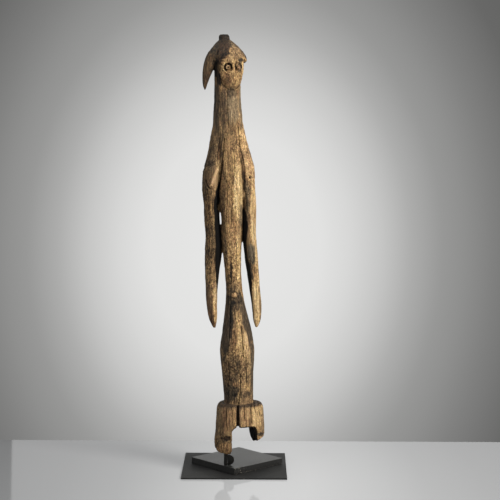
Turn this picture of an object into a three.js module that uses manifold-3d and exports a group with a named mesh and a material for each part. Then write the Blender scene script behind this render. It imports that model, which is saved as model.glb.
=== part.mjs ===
// A tall wooden figure, carved from one trunk, held upright by a steel rod on two square steel plates.
// Millimetres, +Z up. The origin is the middle of the underside of the lower plate.
// The figure looks towards -Y and is turned a little towards +X.

import * as THREE from "three";
import { ParametricGeometry } from "three/addons/geometries/ParametricGeometry.js";
import { mergeVertices } from "three/addons/utils/BufferGeometryUtils.js";
import Module from "manifold-3d";

const wasm = await Module();
wasm.setup();

// Driving dimensions

const PLATE_SIDE = 280;
const PLATE_THICK = 4;
const BLOCK_SIDE = 176;
const BLOCK_THICK = 18;
const BLOCK_CENTRE = [6.5, 10];
const BLOCK_TURN = THREE.MathUtils.degToRad(43.1);

const ROD_RADIUS = 5.2;
const ROD_PLACE = [-22.6, -71.6];
const ROD_DEPTH_IN_LEG = 50;
const LUG_RADIUS = 13.7;
const LUG_THICK = 6;
const LUG_OFFSET = 8.2;
const GAP = 0.3;

const FOOT_Z = 57;
const ARCH_Z = 133;
const SKIRT_Z = 190;
const HIP_Z = 335;
const WAIST_Z = 495;
const HAND_Z = 393;
const ELBOW_Z = 591;
const ARMPIT_Z = 640;
const SHOULDER_Z = 803;
const NECK_Z = 991;
const CHIN_Z = 1021;
const EYE_Z = 1076;
const BRIM_Z = 1094;
const CREST_Z = 1164;

const AXIS_Y = -60;
const SKIRT_X = 14.5;
const SKIRT_TURN = THREE.MathUtils.degToRad(12.7);
const HEAD_X = -21;
const HEAD_TURN = THREE.MathUtils.degToRad(22);

const ARCH_LEFT = -31.3;
const ARCH_RIGHT = 30;
const ARCH_CORNERS = [17, 7];
const ARCH_SAG = 1.5;
const ARCH_FLARE = [
  [3, ARCH_Z - 7],
  [3.4, 111],
  [4.8, 101],
  [6.6, 91],
  [9.6, 82],
  [14.4, 74],
];
const BREAK_PLACE = [58, AXIS_Y, 84];
const BREAK_NORMAL = new THREE.Vector3(-0.6, 0.143, 1).normalize();
const BREAK_REACH = [-40, 120];
const BITE_PLACE = [57.5, -113, 119];
const BITE_RADII = [7.5, 14, 8.5];
const SPLIT_X = [9.8, 9];
const SPLIT_WIDTH = [6.4, 3.4];
const SPLIT_Z = [ARCH_Z - 2, SKIRT_Z + 5];
const SPLIT_DEPTH = 22;

const FACE_SHIFT = 1.6;
const EYE_SPREAD = 15;
const EYE_AZIMUTH = THREE.MathUtils.degToRad(22);
const EYE_GROOVE = [6.6, 11.6];
const EYE_DEPTH = 5;
const EYE_FORWARD = 43.5;
const PUPIL_RADIUS = 1.8;
const TOOL_REACH = 20;
const NAVEL_RADIUS = 7.5;
const NAVEL_FLATNESS = 0.7;
const NAVEL_PLACE = [-1, AXIS_Y - 24.5, WAIST_Z - 13.5];

// Turns a closed three.js geometry into a solid, dropping triangles that have shrunk to a line.
function solid(geometry) {
  const bare = geometry.index ? geometry.toNonIndexed() : geometry.clone();
  for (const name of Object.keys(bare.attributes)) {
    if (name !== "position") bare.deleteAttribute(name);
  }
  const merged = mergeVertices(bare, 1e-4);
  const corners = [];
  const index = merged.index.array;
  for (let i = 0; i < index.length; i += 3) {
    const [a, b, c] = [index[i], index[i + 1], index[i + 2]];
    if (a !== b && b !== c && c !== a) corners.push(a, b, c);
  }
  const mesh = new wasm.Mesh({
    numProp: 3,
    vertProperties: new Float32Array(merged.attributes.position.array),
    triVerts: new Uint32Array(corners),
  });
  return new wasm.Manifold(mesh);
}

// Turns a solid back into a geometry with flat facets.
function geometryOf(body) {
  const mesh = body.getMesh();
  const geometry = new THREE.BufferGeometry();
  geometry.setAttribute("position", new THREE.BufferAttribute(mesh.vertProperties, 3));
  geometry.setIndex(new THREE.BufferAttribute(mesh.triVerts, 1));
  const faceted = geometry.toNonIndexed();
  faceted.computeVertexNormals();
  return faceted;
}

// One closed outline with rounded corners that fills the box left..right, front..back.
// A power of 2 is an ellipse, more is squarer, less is nearer to a lens with two sharp edges.
function outline(angle, row, sides) {
  const [left, right, front, back, turn, power] = row;
  const lean = THREE.MathUtils.degToRad(turn);
  const bend = (value) => Math.sign(value) * Math.abs(value) ** (2 / power);
  const at = (t) => {
    const [x, y] = [bend(Math.cos(t)), bend(Math.sin(t))];
    return [x * Math.cos(lean) - y * Math.sin(lean), x * Math.sin(lean) + y * Math.cos(lean)];
  };
  let [wide, deep] = [0, 0];
  for (let i = 0; i < sides; i++) {
    const [x, y] = at((2 * Math.PI * i) / sides);
    wide = Math.max(wide, Math.abs(x));
    deep = Math.max(deep, Math.abs(y));
  }
  const [x, y] = at(angle);
  return [
    (left + right) / 2 + ((x / wide) * (right - left)) / 2,
    (front + back) / 2 + ((y / deep) * (back - front)) / 2,
  ];
}

// A closed body through rows of [height, left, right, front, back, turn, power], lowest row first.
function loft(rows, sides, rings) {
  const heights = rows.map((row) => row[0]);
  const sizes = rows.flatMap((row) => row.slice(1));
  const between = new THREE.CubicInterpolant(heights, sizes, 6);
  const [low, high] = [heights[0], heights.at(-1)];
  const stacks = rings + 2;
  const point = (u, v, target) => {
    const step = THREE.MathUtils.clamp((v * stacks - 1) / rings, 0, 1);
    const height = low + (high - low) * step;
    const row = Array.from(between.evaluate(height));
    if (v === 0 || v === 1) {
      target.set((row[0] + row[1]) / 2, (row[2] + row[3]) / 2, height);
      return;
    }
    const angle = u === 1 ? 0 : 2 * Math.PI * u;
    const [x, y] = outline(angle, row, sides);
    target.set(x, y, height);
  };
  return solid(new ParametricGeometry(point, sides, stacks));
}

// A row whose front and back lie the same distance from the figure's middle plane.
function even(height, left, right, halfDepth, middle = AXIS_Y, turn = 0, power = 2.2) {
  return [height, left, right, middle - halfDepth, middle + halfDepth, turn, power];
}

// Turns a body about the vertical line through the given place.
function turned(geometry, angle, x, y) {
  return geometry.rotateZ(angle).translate(x, y, 0);
}

// Trunk: column above the skirt, hips, waist, torso and neck

function trunk() {
  return loft(
    [
      even(ARCH_Z + 12, -29, 49, 38),
      even(SKIRT_Z + 15, -28.8, 50, 39),
      even(HIP_Z - 65, -33.5, 49.7, 41),
      even(HIP_Z, -40.3, 52, 45),
      even(HIP_Z + 43, -34.2, 46.3, 41),
      even(HIP_Z + 86, -29.3, 35.6, 33),
      even(WAIST_Z - 31, -24.6, 25, 27),
      even(WAIST_Z, -23.7, 20, 25),
      even(ELBOW_Z - 50, -27, 17, 26.5),
      even(ELBOW_Z, -31.8, 17.1, 28.5),
      even(ARMPIT_Z, -37, 19.5, 31.5),
      even(ARMPIT_Z + 45, -36.5, 21, 33, AXIS_Y - 1),
      even(ARMPIT_Z + 80, -42.5, 23.5, 35, AXIS_Y - 1),
      even(SHOULDER_Z - 23, -45, 28, 37, AXIS_Y - 1),
      even(SHOULDER_Z + 50, -53, 24, 39),
      even(NECK_Z - 84, -58, 21, 38),
      even(NECK_Z - 42, -58.6, 18.5, 37),
      even(NECK_Z, -56.3, 14.2, 35.5),
      even(CHIN_Z + 10, -55.8, 13.6, 34.5),
      even(BRIM_Z + 16, -56.5, 13, 34),
    ],
    34,
    42,
  );
}

// Arms: each is a wedge in section, with a sharp edge in front that leans towards the torso

const ARM_EDGE = 20;
const ARM_POWER = 1.55;

// Rows run from the shoulder down: height, outer edge, inner edge, half depth, middle plane.
function arm(rows, side) {
  const upward = rows.toReversed().map(([height, outer, inner, halfDepth, middle]) => {
    const [left, right] = side < 0 ? [outer, inner] : [inner, outer];
    return even(height, left, right, halfDepth, middle, -side * ARM_EDGE, ARM_POWER);
  });
  return loft(upward, 18, 28);
}

function armLeft() {
  return arm(
    [
      [NECK_Z - 30, -52, -36, 18, -62],
      [NECK_Z - 91, -64.5, -27, 28, -62],
      [SHOULDER_Z + 42, -74.8, -31, 33, -62],
      [SHOULDER_Z, -84.8, -37, 35, -62],
      [SHOULDER_Z - 42, -87.2, -41, 35, -61],
      [ARMPIT_Z + 78, -82.8, -41.5, 33, -59],
      [ARMPIT_Z + 40, -82, -40.5, 32, -57.5],
      [ARMPIT_Z, -78, -36, 30, -56],
      [ELBOW_Z, -80, -33.7, 28, -56],
      [ELBOW_Z - 42, -79.4, -40.1, 25, -58],
      [WAIST_Z, -77.4, -45.2, 21, -62],
      [HAND_Z + 71, -76.6, -46.2, 18, -66],
      [HAND_Z + 28, -69.7, -46.3, 14, -70],
      [HAND_Z + 10, -64.6, -46.5, 11, -71.5],
      [HAND_Z + 3, -60.6, -47.2, 8, -72],
      [HAND_Z - 2, -56.8, -50, 4, -72.5],
    ],
    -1,
  );
}

function armRight() {
  return arm(
    [
      [NECK_Z - 30, 14, -4, 18, -62],
      [NECK_Z - 91, 27.5, -12, 28, -62],
      [SHOULDER_Z + 42, 42.7, 2, 33, -62],
      [SHOULDER_Z + 18, 50.2, 8, 34, -62],
      [SHOULDER_Z - 42, 52.8, 16, 34, -60],
      [ARMPIT_Z + 78, 55.6, 20, 32, -57],
      [ARMPIT_Z, 56, 19.6, 30, -54],
      [ELBOW_Z, 60.2, 22.9, 28, -54],
      [ELBOW_Z - 42, 63.1, 28.8, 25, -56],
      [WAIST_Z, 67.2, 37.8, 21, -60],
      [HAND_Z + 50, 71.8, 44.8, 17, -65],
      [HAND_Z + 28, 70.2, 47.2, 14, -68],
      [HAND_Z + 9, 66.2, 49.8, 10.5, -70],
      [HAND_Z, 61.5, 53.5, 5, -70.5],
    ],
    1,
  );
}

// Skirt: a drum with a flat ledge round the column, cut by an arch into two leg stubs

const SKIRT_HALF_DEPTH = 57;

function drum() {
  const half = SKIRT_HALF_DEPTH;
  return loft(
    [
      even(FOOT_Z, -44, 69, half - 10),
      even(FOOT_Z + 5, -49.3, 76, half - 4),
      even(FOOT_Z + 14, -52.3, 79, half),
      even(FOOT_Z + 40, -53, 80.3, half + 1),
      even(ARCH_Z - 25, -51.6, 80, half + 1),
      even(ARCH_Z, -49.8, 79.5, half),
      even(SKIRT_Z - 23, -47.6, 77.3, half - 1),
      even(SKIRT_Z - 9, -45.8, 76.4, half - 2),
      even(SKIRT_Z - 3, -43, 73.4, half - 4),
      even(SKIRT_Z, -40, 72, half - 7),
    ],
    38,
    14,
  );
}

// The opening between the legs, as a shape in the skirt's own frame with x across and y up.
function archTunnel() {
  const floor = FOOT_Z - 30;
  const flare = ARCH_FLARE.map(([out, height]) => [ARCH_RIGHT + out, height]).toReversed();
  const shape = new THREE.Shape();
  shape.moveTo(ARCH_LEFT, floor);
  shape.lineTo(flare[0][0], floor);
  for (const [x, height] of flare) shape.lineTo(x, height);
  const [leftCorner, rightCorner] = ARCH_CORNERS;
  shape.quadraticCurveTo(ARCH_RIGHT, ARCH_Z, ARCH_RIGHT - rightCorner, ARCH_Z);
  shape.lineTo(ARCH_LEFT + leftCorner, ARCH_Z - ARCH_SAG);
  shape.quadraticCurveTo(ARCH_LEFT, ARCH_Z - ARCH_SAG, ARCH_LEFT, ARCH_Z - leftCorner);
  shape.closePath();
  const length = 4 * SKIRT_HALF_DEPTH;
  const geometry = new THREE.ExtrudeGeometry(shape, {
    depth: length,
    bevelEnabled: false,
    curveSegments: 5,
  });
  geometry.rotateX(Math.PI / 2).translate(0, length / 2, 0);
  return solid(turned(geometry, SKIRT_TURN, SKIRT_X, AXIS_Y));
}

// What has broken off below the right leg stub: the break slants up to the outside and the front.
function brokenFoot() {
  const [inward, outward] = BREAK_REACH;
  const size = outward - inward;
  const geometry = new THREE.BoxGeometry(size, size, size);
  const up = new THREE.Vector3(0, 0, 1);
  geometry.translate(inward + size / 2, 0, -size / 2);
  geometry.applyQuaternion(new THREE.Quaternion().setFromUnitVectors(up, BREAK_NORMAL));
  geometry.translate(...BREAK_PLACE);
  return solid(geometry);
}

// A piece lost from the front edge of the arch, above the break.
function archBite() {
  const geometry = new THREE.SphereGeometry(1, 14, 10);
  geometry.scale(...BITE_RADII).translate(...BITE_PLACE);
  return solid(geometry);
}

// The open split in the front of the skirt, narrower at the ledge.
function skirtSplit() {
  const [lowX, highX] = SPLIT_X;
  const [lowWidth, highWidth] = SPLIT_WIDTH;
  const [low, high] = SPLIT_Z;
  const shape = new THREE.Shape();
  shape.moveTo(lowX - lowWidth / 2, low);
  shape.lineTo(lowX + lowWidth / 2, low);
  shape.lineTo(highX + highWidth / 2, high);
  shape.lineTo(highX - highWidth / 2, high);
  shape.closePath();
  const geometry = new THREE.ExtrudeGeometry(shape, { depth: 2 * SPLIT_DEPTH, bevelEnabled: false });
  geometry.rotateX(Math.PI / 2).translate(0, AXIS_Y - SKIRT_HALF_DEPTH + SPLIT_DEPTH, 0);
  return solid(geometry);
}

// Head, built facing -Y about its own axis and then turned

function headPart(rows, sides, rings) {
  const body = loft(rows, sides, rings);
  return solid(turned(geometryOf(body), HEAD_TURN, HEAD_X, AXIS_Y));
}

// A row in the head's frame: half width, and how far it reaches forward and back of the head's axis.
function headRow(height, halfWidth, forward, behind, power = 2) {
  return [height, -halfWidth, halfWidth, -forward, behind, 0, power];
}

// The face sits a little to one side of the head's axis.
function faceRow(height, halfWidth, forward, behind) {
  const row = headRow(height, halfWidth, forward, behind);
  row[1] += FACE_SHIFT;
  row[2] += FACE_SHIFT;
  return row;
}

function face() {
  return headPart(
    [
      faceRow(CHIN_Z, 7, 34, -24),
      faceRow(CHIN_Z + 2, 15, 39, -16),
      faceRow(CHIN_Z + 6, 20, 42, -8),
      faceRow(CHIN_Z + 14, 25.5, 44.5, 0),
      faceRow(CHIN_Z + 32, 31, 46.5, 4),
      faceRow(EYE_Z, 34.5, 47.5, 8),
      faceRow(BRIM_Z + 8, 33.5, 44, 10),
      faceRow(BRIM_Z + 26, 27, 33, 10),
      faceRow(BRIM_Z + 44, 16, 11, 8),
    ],
    26,
    18,
  );
}

function hood() {
  return headPart(
    [
      headRow(BRIM_Z - 22, 33, 18, 33),
      headRow(BRIM_Z - 8, 42, 24, 40),
      headRow(BRIM_Z - 2, 52.5, 28, 43),
      headRow(BRIM_Z + 5, 55.8, 32, 46),
      headRow(BRIM_Z + 14, 52.3, 33, 47),
      headRow(BRIM_Z + 24, 45.6, 30, 47),
      headRow(BRIM_Z + 37, 34.4, 20, 47),
      headRow(BRIM_Z + 52, 19.5, 2, 43),
      headRow(BRIM_Z + 57, 13, -8, 37),
    ],
    32,
    12,
  );
}

function crest() {
  return headPart(
    [
      headRow(BRIM_Z + 16, 9, 40, 46, 3),
      headRow(BRIM_Z + 36, 10.5, 19, 46, 3),
      headRow(CREST_Z - 17, 11.4, 0, 45, 3),
      headRow(CREST_Z - 8, 12, -7, 44, 3),
      headRow(CREST_Z - 3, 11.5, -8, 43, 3),
      headRow(CREST_Z, 9, -11, 41, 3),
    ],
    20,
    10,
  );
}

function earFlap() {
  const lean = THREE.MathUtils.radToDeg(HEAD_TURN);
  return loft(
    [
      even(CHIN_Z - 4, -80.5, -78, 3, -74, lean, 2),
      even(CHIN_Z + 2, -83, -75.7, 6, -74, lean, 2),
      even(CHIN_Z + 17, -85.8, -70.5, 11, -73, lean, 2),
      even(CHIN_Z + 40, -86, -61.2, 16, -72, lean, 2),
      even(CHIN_Z + 64, -83.4, -50, 20, -70, lean, 2),
      even(BRIM_Z + 6, -79.5, -42, 22, -67, lean, 2),
      even(BRIM_Z + 22, -72, -40, 20, -64, lean, 2),
      even(BRIM_Z + 36, -60, -40, 13, -60, lean, 2),
    ],
    16,
    15,
  );
}

// The root of the other ear flap, which has broken off level with the brim.
function earStub() {
  return headPart(
    [
      [BRIM_Z - 6, 34, 47, -17, 16, 0, 2],
      [BRIM_Z + 2, 32, 52, -22, 20, 0, 2],
      [BRIM_Z + 14, 30, 47, -18, 18, 0, 2],
    ],
    14,
    3,
  );
}

// Places a lathed tool against the face, its axis along the way that the eye looks.
function atEye(profile, side) {
  const geometry = new THREE.LatheGeometry(
    profile.map(([radius, height]) => new THREE.Vector2(radius, height)),
    20,
  );
  geometry.rotateX(Math.PI).rotateZ(side * EYE_AZIMUTH);
  geometry.translate(side * EYE_SPREAD, -EYE_FORWARD, EYE_Z);
  return solid(turned(geometry, HEAD_TURN, HEAD_X, AXIS_Y));
}

// A ring-shaped groove round each eye.
function eyeGroove(side) {
  const [inner, outer] = EYE_GROOVE;
  const profile = [
    [inner, -EYE_DEPTH],
    [outer, -EYE_DEPTH],
    [outer, TOOL_REACH],
    [inner, TOOL_REACH],
    [inner, -EYE_DEPTH],
  ];
  return atEye(profile, side);
}

function pupil(side) {
  const profile = [
    [0, -EYE_DEPTH],
    [PUPIL_RADIUS, -EYE_DEPTH],
    [PUPIL_RADIUS, TOOL_REACH],
    [0, TOOL_REACH],
  ];
  return atEye(profile, side);
}

function navel() {
  const geometry = new THREE.SphereGeometry(NAVEL_RADIUS, 16, 10);
  geometry.scale(1, NAVEL_FLATNESS, 1).translate(...NAVEL_PLACE);
  return solid(geometry);
}

// Support: rod, lug and the hole for the rod

const BLOCK_TOP = PLATE_THICK + GAP + BLOCK_THICK;
const ROD_FOOT = BLOCK_TOP + GAP;
const ROD_TOP = FOOT_Z + ROD_DEPTH_IN_LEG;

function uprightCylinder(radius, low, high, [x, y]) {
  const geometry = new THREE.CylinderGeometry(radius, radius, high - low, 24);
  return geometry.rotateX(Math.PI / 2).translate(x, y, (low + high) / 2);
}

function rodHole() {
  return solid(uprightCylinder(ROD_RADIUS + GAP, FOOT_Z - 10, ROD_TOP + GAP, ROD_PLACE));
}

// A half-round tab whose straight side lies along the rod.
function lug() {
  const chord = ROD_RADIUS + GAP - LUG_OFFSET;
  const half = Math.acos(chord / LUG_RADIUS);
  const shape = new THREE.Shape();
  shape.absarc(LUG_OFFSET, 0, LUG_RADIUS, -half, half, false);
  shape.closePath();
  const geometry = new THREE.ExtrudeGeometry(shape, {
    depth: LUG_THICK,
    bevelEnabled: false,
    curveSegments: 20,
  });
  const [x, y] = ROD_PLACE;
  return geometry.rotateX(Math.PI / 2).translate(x, y + LUG_THICK / 2, ROD_FOOT + LUG_RADIUS);
}

// The carved figure in one piece

function figure() {
  const limbs = [drum(), armLeft(), armRight()];
  const head = [face(), hood(), crest(), earFlap(), earStub()];
  let body = [...limbs, ...head, navel()].reduce((whole, piece) => whole.add(piece), trunk());
  const cuts = [archTunnel(), brokenFoot(), archBite(), skirtSplit(), rodHole()];
  for (const side of [-1, 1]) cuts.push(eyeGroove(side), pupil(side));
  body = cuts.reduce((whole, piece) => whole.subtract(piece), body);
  return geometryOf(body);
}

// Materials

const wood = new THREE.MeshStandardMaterial({ color: 0x9a7444, roughness: 0.85, metalness: 0 });
const rodSteel = new THREE.MeshStandardMaterial({ color: 0x17160f, roughness: 0.5, metalness: 0.6 });
const blockSteel = new THREE.MeshStandardMaterial({ color: 0x3a3a38, roughness: 0.55, metalness: 0.5 });
const plateSteel = new THREE.MeshStandardMaterial({ color: 0x262625, roughness: 0.6, metalness: 0.5 });

function named(name, geometry, material) {
  const mesh = new THREE.Mesh(geometry, material);
  mesh.name = name;
  return mesh;
}

// Assembly

const part = new THREE.Group();

const plate = new THREE.BoxGeometry(PLATE_SIDE, PLATE_SIDE, PLATE_THICK);
const basePlate = named("base_plate", plate, plateSteel);
basePlate.position.z = PLATE_THICK / 2;

const block = new THREE.BoxGeometry(BLOCK_SIDE, BLOCK_SIDE, BLOCK_THICK);
const baseBlock = named("base_block", block, blockSteel);
baseBlock.position.set(...BLOCK_CENTRE, PLATE_THICK + GAP + BLOCK_THICK / 2);
baseBlock.rotation.z = BLOCK_TURN;

const rod = uprightCylinder(ROD_RADIUS, ROD_FOOT, ROD_TOP, ROD_PLACE);

part.add(
  basePlate,
  baseBlock,
  named("support_rod", rod, rodSteel),
  named("support_lug", lug(), rodSteel),
  named("figure", figure(), wood),
);

export default part;
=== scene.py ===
import math
from itertools import product

import bpy
import bmesh
import numpy as np
from mathutils import Matrix, Vector


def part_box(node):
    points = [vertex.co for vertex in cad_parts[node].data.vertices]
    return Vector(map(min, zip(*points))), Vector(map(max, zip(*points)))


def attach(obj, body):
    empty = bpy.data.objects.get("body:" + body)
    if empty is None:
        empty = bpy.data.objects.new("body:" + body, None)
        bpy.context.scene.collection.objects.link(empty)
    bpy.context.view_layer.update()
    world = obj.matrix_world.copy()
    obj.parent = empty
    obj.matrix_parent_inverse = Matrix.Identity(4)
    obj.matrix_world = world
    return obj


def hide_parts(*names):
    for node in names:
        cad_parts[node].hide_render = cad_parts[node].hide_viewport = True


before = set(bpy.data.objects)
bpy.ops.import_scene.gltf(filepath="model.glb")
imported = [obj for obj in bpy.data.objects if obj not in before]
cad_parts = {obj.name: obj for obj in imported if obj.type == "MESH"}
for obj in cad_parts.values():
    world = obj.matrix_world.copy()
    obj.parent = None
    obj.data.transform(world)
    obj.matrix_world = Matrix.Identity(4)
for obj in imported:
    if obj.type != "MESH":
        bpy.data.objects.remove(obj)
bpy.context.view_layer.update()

MM = 0.001

# Places on the figure, in millimetres, as the frame has them
AXIS_Y = -60.0
SKIRT_X = 14.5
SKIRT_TURN = math.radians(12.7)
HEAD_X = -21.0
HEAD_TURN = math.radians(22)
EYE_Z = 1076.0
ROD_PLACE = (-22.6, -71.6)
BLOCK_CENTRE = (6.5, 10.0)
BLOCK_TURN = math.radians(43.1)


# Noise on many points at once, always the same for the same seed

def smooth(low, high, value):
    t = np.clip((value - low) / (high - low), 0, 1)
    return t * t * (3 - 2 * t)


def hashed(ix, iy, iz, seed):
    h = (ix * 374761393 + iy * 668265263 + iz * 1440662683 + seed * 97531) & 0xFFFFFFFF
    h = ((h ^ (h >> 13)) * 1274126177) & 0xFFFFFFFF
    h = h ^ (h >> 16)
    return (h & 0xFFFFFF) / 0xFFFFFF


def ripple(points, cell, seed):
    """Smooth noise from -1 to 1. cell is the size of one ripple along x, y and z."""
    scaled = points / np.array(cell, float)
    base = np.floor(scaled).astype(np.int64)
    part = scaled - base
    blend = part ** 3 * (part * (part * 6 - 15) + 10)
    total = np.zeros(len(points))
    for corner in product((0, 1), repeat=3):
        weight = np.ones(len(points))
        for axis in range(3):
            weight *= blend[:, axis] if corner[axis] else 1 - blend[:, axis]
        total += weight * hashed(*(base[:, i] + corner[i] for i in range(3)), seed)
    return total * 2 - 1


def layered(points, cell, seed, octaves=3):
    total, size, reach = np.zeros(len(points)), 1.0, 0.0
    for octave in range(octaves):
        total += size * ripple(points, np.array(cell, float) / 2 ** octave, seed + 17 * octave)
        reach += size
        size *= 0.55
    return total / reach


def nearest_spot(points, cell, seed):
    """How far the nearest of many scattered spots is, in cells, and a number from 0 to 1 for that spot."""
    scaled = points / np.array(cell, float)
    base = np.floor(scaled).astype(np.int64)
    best = np.full(len(points), 9.0)
    chance = np.zeros(len(points))
    for step in product((-1, 0, 1), repeat=3):
        spot = base + step
        place = [spot[:, i] + 0.1 + 0.8 * hashed(spot[:, 0], spot[:, 1], spot[:, 2], seed + i) for i in range(3)]
        gap = np.sqrt(sum((scaled[:, i] - place[i]) ** 2 for i in range(3)))
        near = gap < best
        best[near] = gap[near]
        chance[near] = hashed(spot[:, 0], spot[:, 1], spot[:, 2], seed + 5)[near]
    return best, chance


# The camera, which also says where a place in the picture lies on the front of the figure

CAMERA_PLACE = np.array([48.16, -3800.72, 956.56])
CAMERA_PITCH = math.radians(5.47)
CAMERA_YAW = math.radians(0.13)
CAMERA_ROLL = math.radians(0.23)
FOCAL = 1422.0
SIDE = 500


def camera_axes():
    ahead = np.array([-math.sin(CAMERA_YAW), math.cos(CAMERA_YAW), 0])
    right = np.array([math.cos(CAMERA_YAW), math.sin(CAMERA_YAW), 0])
    forward = ahead * math.cos(CAMERA_PITCH) - np.array([0, 0, math.sin(CAMERA_PITCH)])
    up = ahead * math.sin(CAMERA_PITCH) + np.array([0, 0, math.cos(CAMERA_PITCH)])
    c, s = math.cos(CAMERA_ROLL), math.sin(CAMERA_ROLL)
    return c * right + s * up, c * up - s * right, forward


def make_camera():
    x, y, forward = camera_axes()
    data = bpy.data.cameras.new("camera")
    data.sensor_width = 36
    data.lens = 36 * FOCAL / SIDE
    data.clip_start, data.clip_end = 0.1, 40
    camera = bpy.data.objects.new("camera", data)
    bpy.context.scene.collection.objects.link(camera)
    turn = Matrix([[x[i], y[i], -forward[i]] for i in range(3)]).to_4x4()
    camera.matrix_world = Matrix.Translation(Vector(CAMERA_PLACE * MM)) @ turn
    bpy.context.scene.camera = camera


def in_picture(places):
    """Where places in millimetres are seen in the picture, as x to the right and y down."""
    x, y, forward = camera_axes()
    away = places - CAMERA_PLACE
    far = away @ forward
    return SIDE / 2 + FOCAL * (away @ x) / far, SIDE / 2 - FOCAL * (away @ y) / far


# Materials

def new_material(name):
    material = bpy.data.materials.new(name)
    material.use_nodes = True
    tree = material.node_tree
    shader = next(n for n in tree.nodes if n.type == "BSDF_PRINCIPLED")
    return material, tree, shader


def rgb(red, green, blue):
    """A colour given as it looks on a screen, from 0 to 255, as linear light."""
    linear = []
    for part in (red, green, blue):
        v = part / 255
        linear.append(v / 12.92 if v <= 0.04045 else ((v + 0.055) / 1.055) ** 2.4)
    return (*linear, 1.0)


def scaled_place(tree, scale):
    place = tree.nodes.new("ShaderNodeTexCoord")
    mapping = tree.nodes.new("ShaderNodeMapping")
    mapping.inputs["Scale"].default_value = scale
    tree.links.new(place.outputs["Object"], mapping.inputs["Vector"])
    return mapping.outputs["Vector"]


def noise(tree, scale, detail=4.0, rough=0.55, distortion=0.0):
    node = tree.nodes.new("ShaderNodeTexNoise")
    node.inputs["Scale"].default_value = 1.0
    node.inputs["Detail"].default_value = detail
    node.inputs["Roughness"].default_value = rough
    node.inputs["Distortion"].default_value = distortion
    tree.links.new(scaled_place(tree, scale), node.inputs["Vector"])
    return node.outputs["Fac"]


def ramp(tree, source, stops):
    node = tree.nodes.new("ShaderNodeValToRGB")
    points = node.color_ramp.elements
    while len(points) < len(stops):
        points.new(0.5)
    for point, (place, colour) in zip(points, stops):
        point.position = place
        point.color = colour if len(colour) == 4 else (*colour, 1)
    tree.links.new(source, node.inputs["Fac"])
    return node.outputs["Color"]


def grey_ramp(tree, source, low, high, bottom=0.0, top=1.0):
    return ramp(tree, source, [(low, (bottom,) * 3), (high, (top,) * 3)])


def mathed(tree, operation, first, second=None, clamp=False):
    node = tree.nodes.new("ShaderNodeMath")
    node.operation = operation
    node.use_clamp = clamp
    for socket, value in zip(node.inputs, (first, second)):
        if value is None:
            continue
        if isinstance(value, (int, float)):
            socket.default_value = value
        else:
            tree.links.new(value, socket)
    return node.outputs["Value"]


def attribute(tree, name):
    node = tree.nodes.new("ShaderNodeAttribute")
    node.attribute_name = name
    return node.outputs["Fac"]


def mixed(tree, share, first, second, kind="MIX"):
    node = tree.nodes.new("ShaderNodeMix")
    node.data_type = "RGBA"
    node.blend_type = kind
    sockets = {"Factor": share, "A": first, "B": second}
    for socket in node.inputs:
        if socket.type not in ("RGBA", "VALUE") or socket.name not in sockets:
            continue
        if (socket.name == "Factor") != (socket.type == "VALUE"):
            continue
        value = sockets[socket.name]
        if hasattr(value, "links"):
            tree.links.new(value, socket)
        else:
            socket.default_value = value
    return next(o for o in node.outputs if o.type == "RGBA")


def bump(tree, shader, height, distance, strength=1.0, under=None):
    node = tree.nodes.new("ShaderNodeBump")
    node.inputs["Distance"].default_value = distance
    node.inputs["Strength"].default_value = strength
    tree.links.new(height, node.inputs["Height"])
    if under is not None:
        tree.links.new(under, node.inputs["Normal"])
    tree.links.new(node.outputs["Normal"], shader.inputs["Normal"])
    return node.outputs["Normal"]


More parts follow.
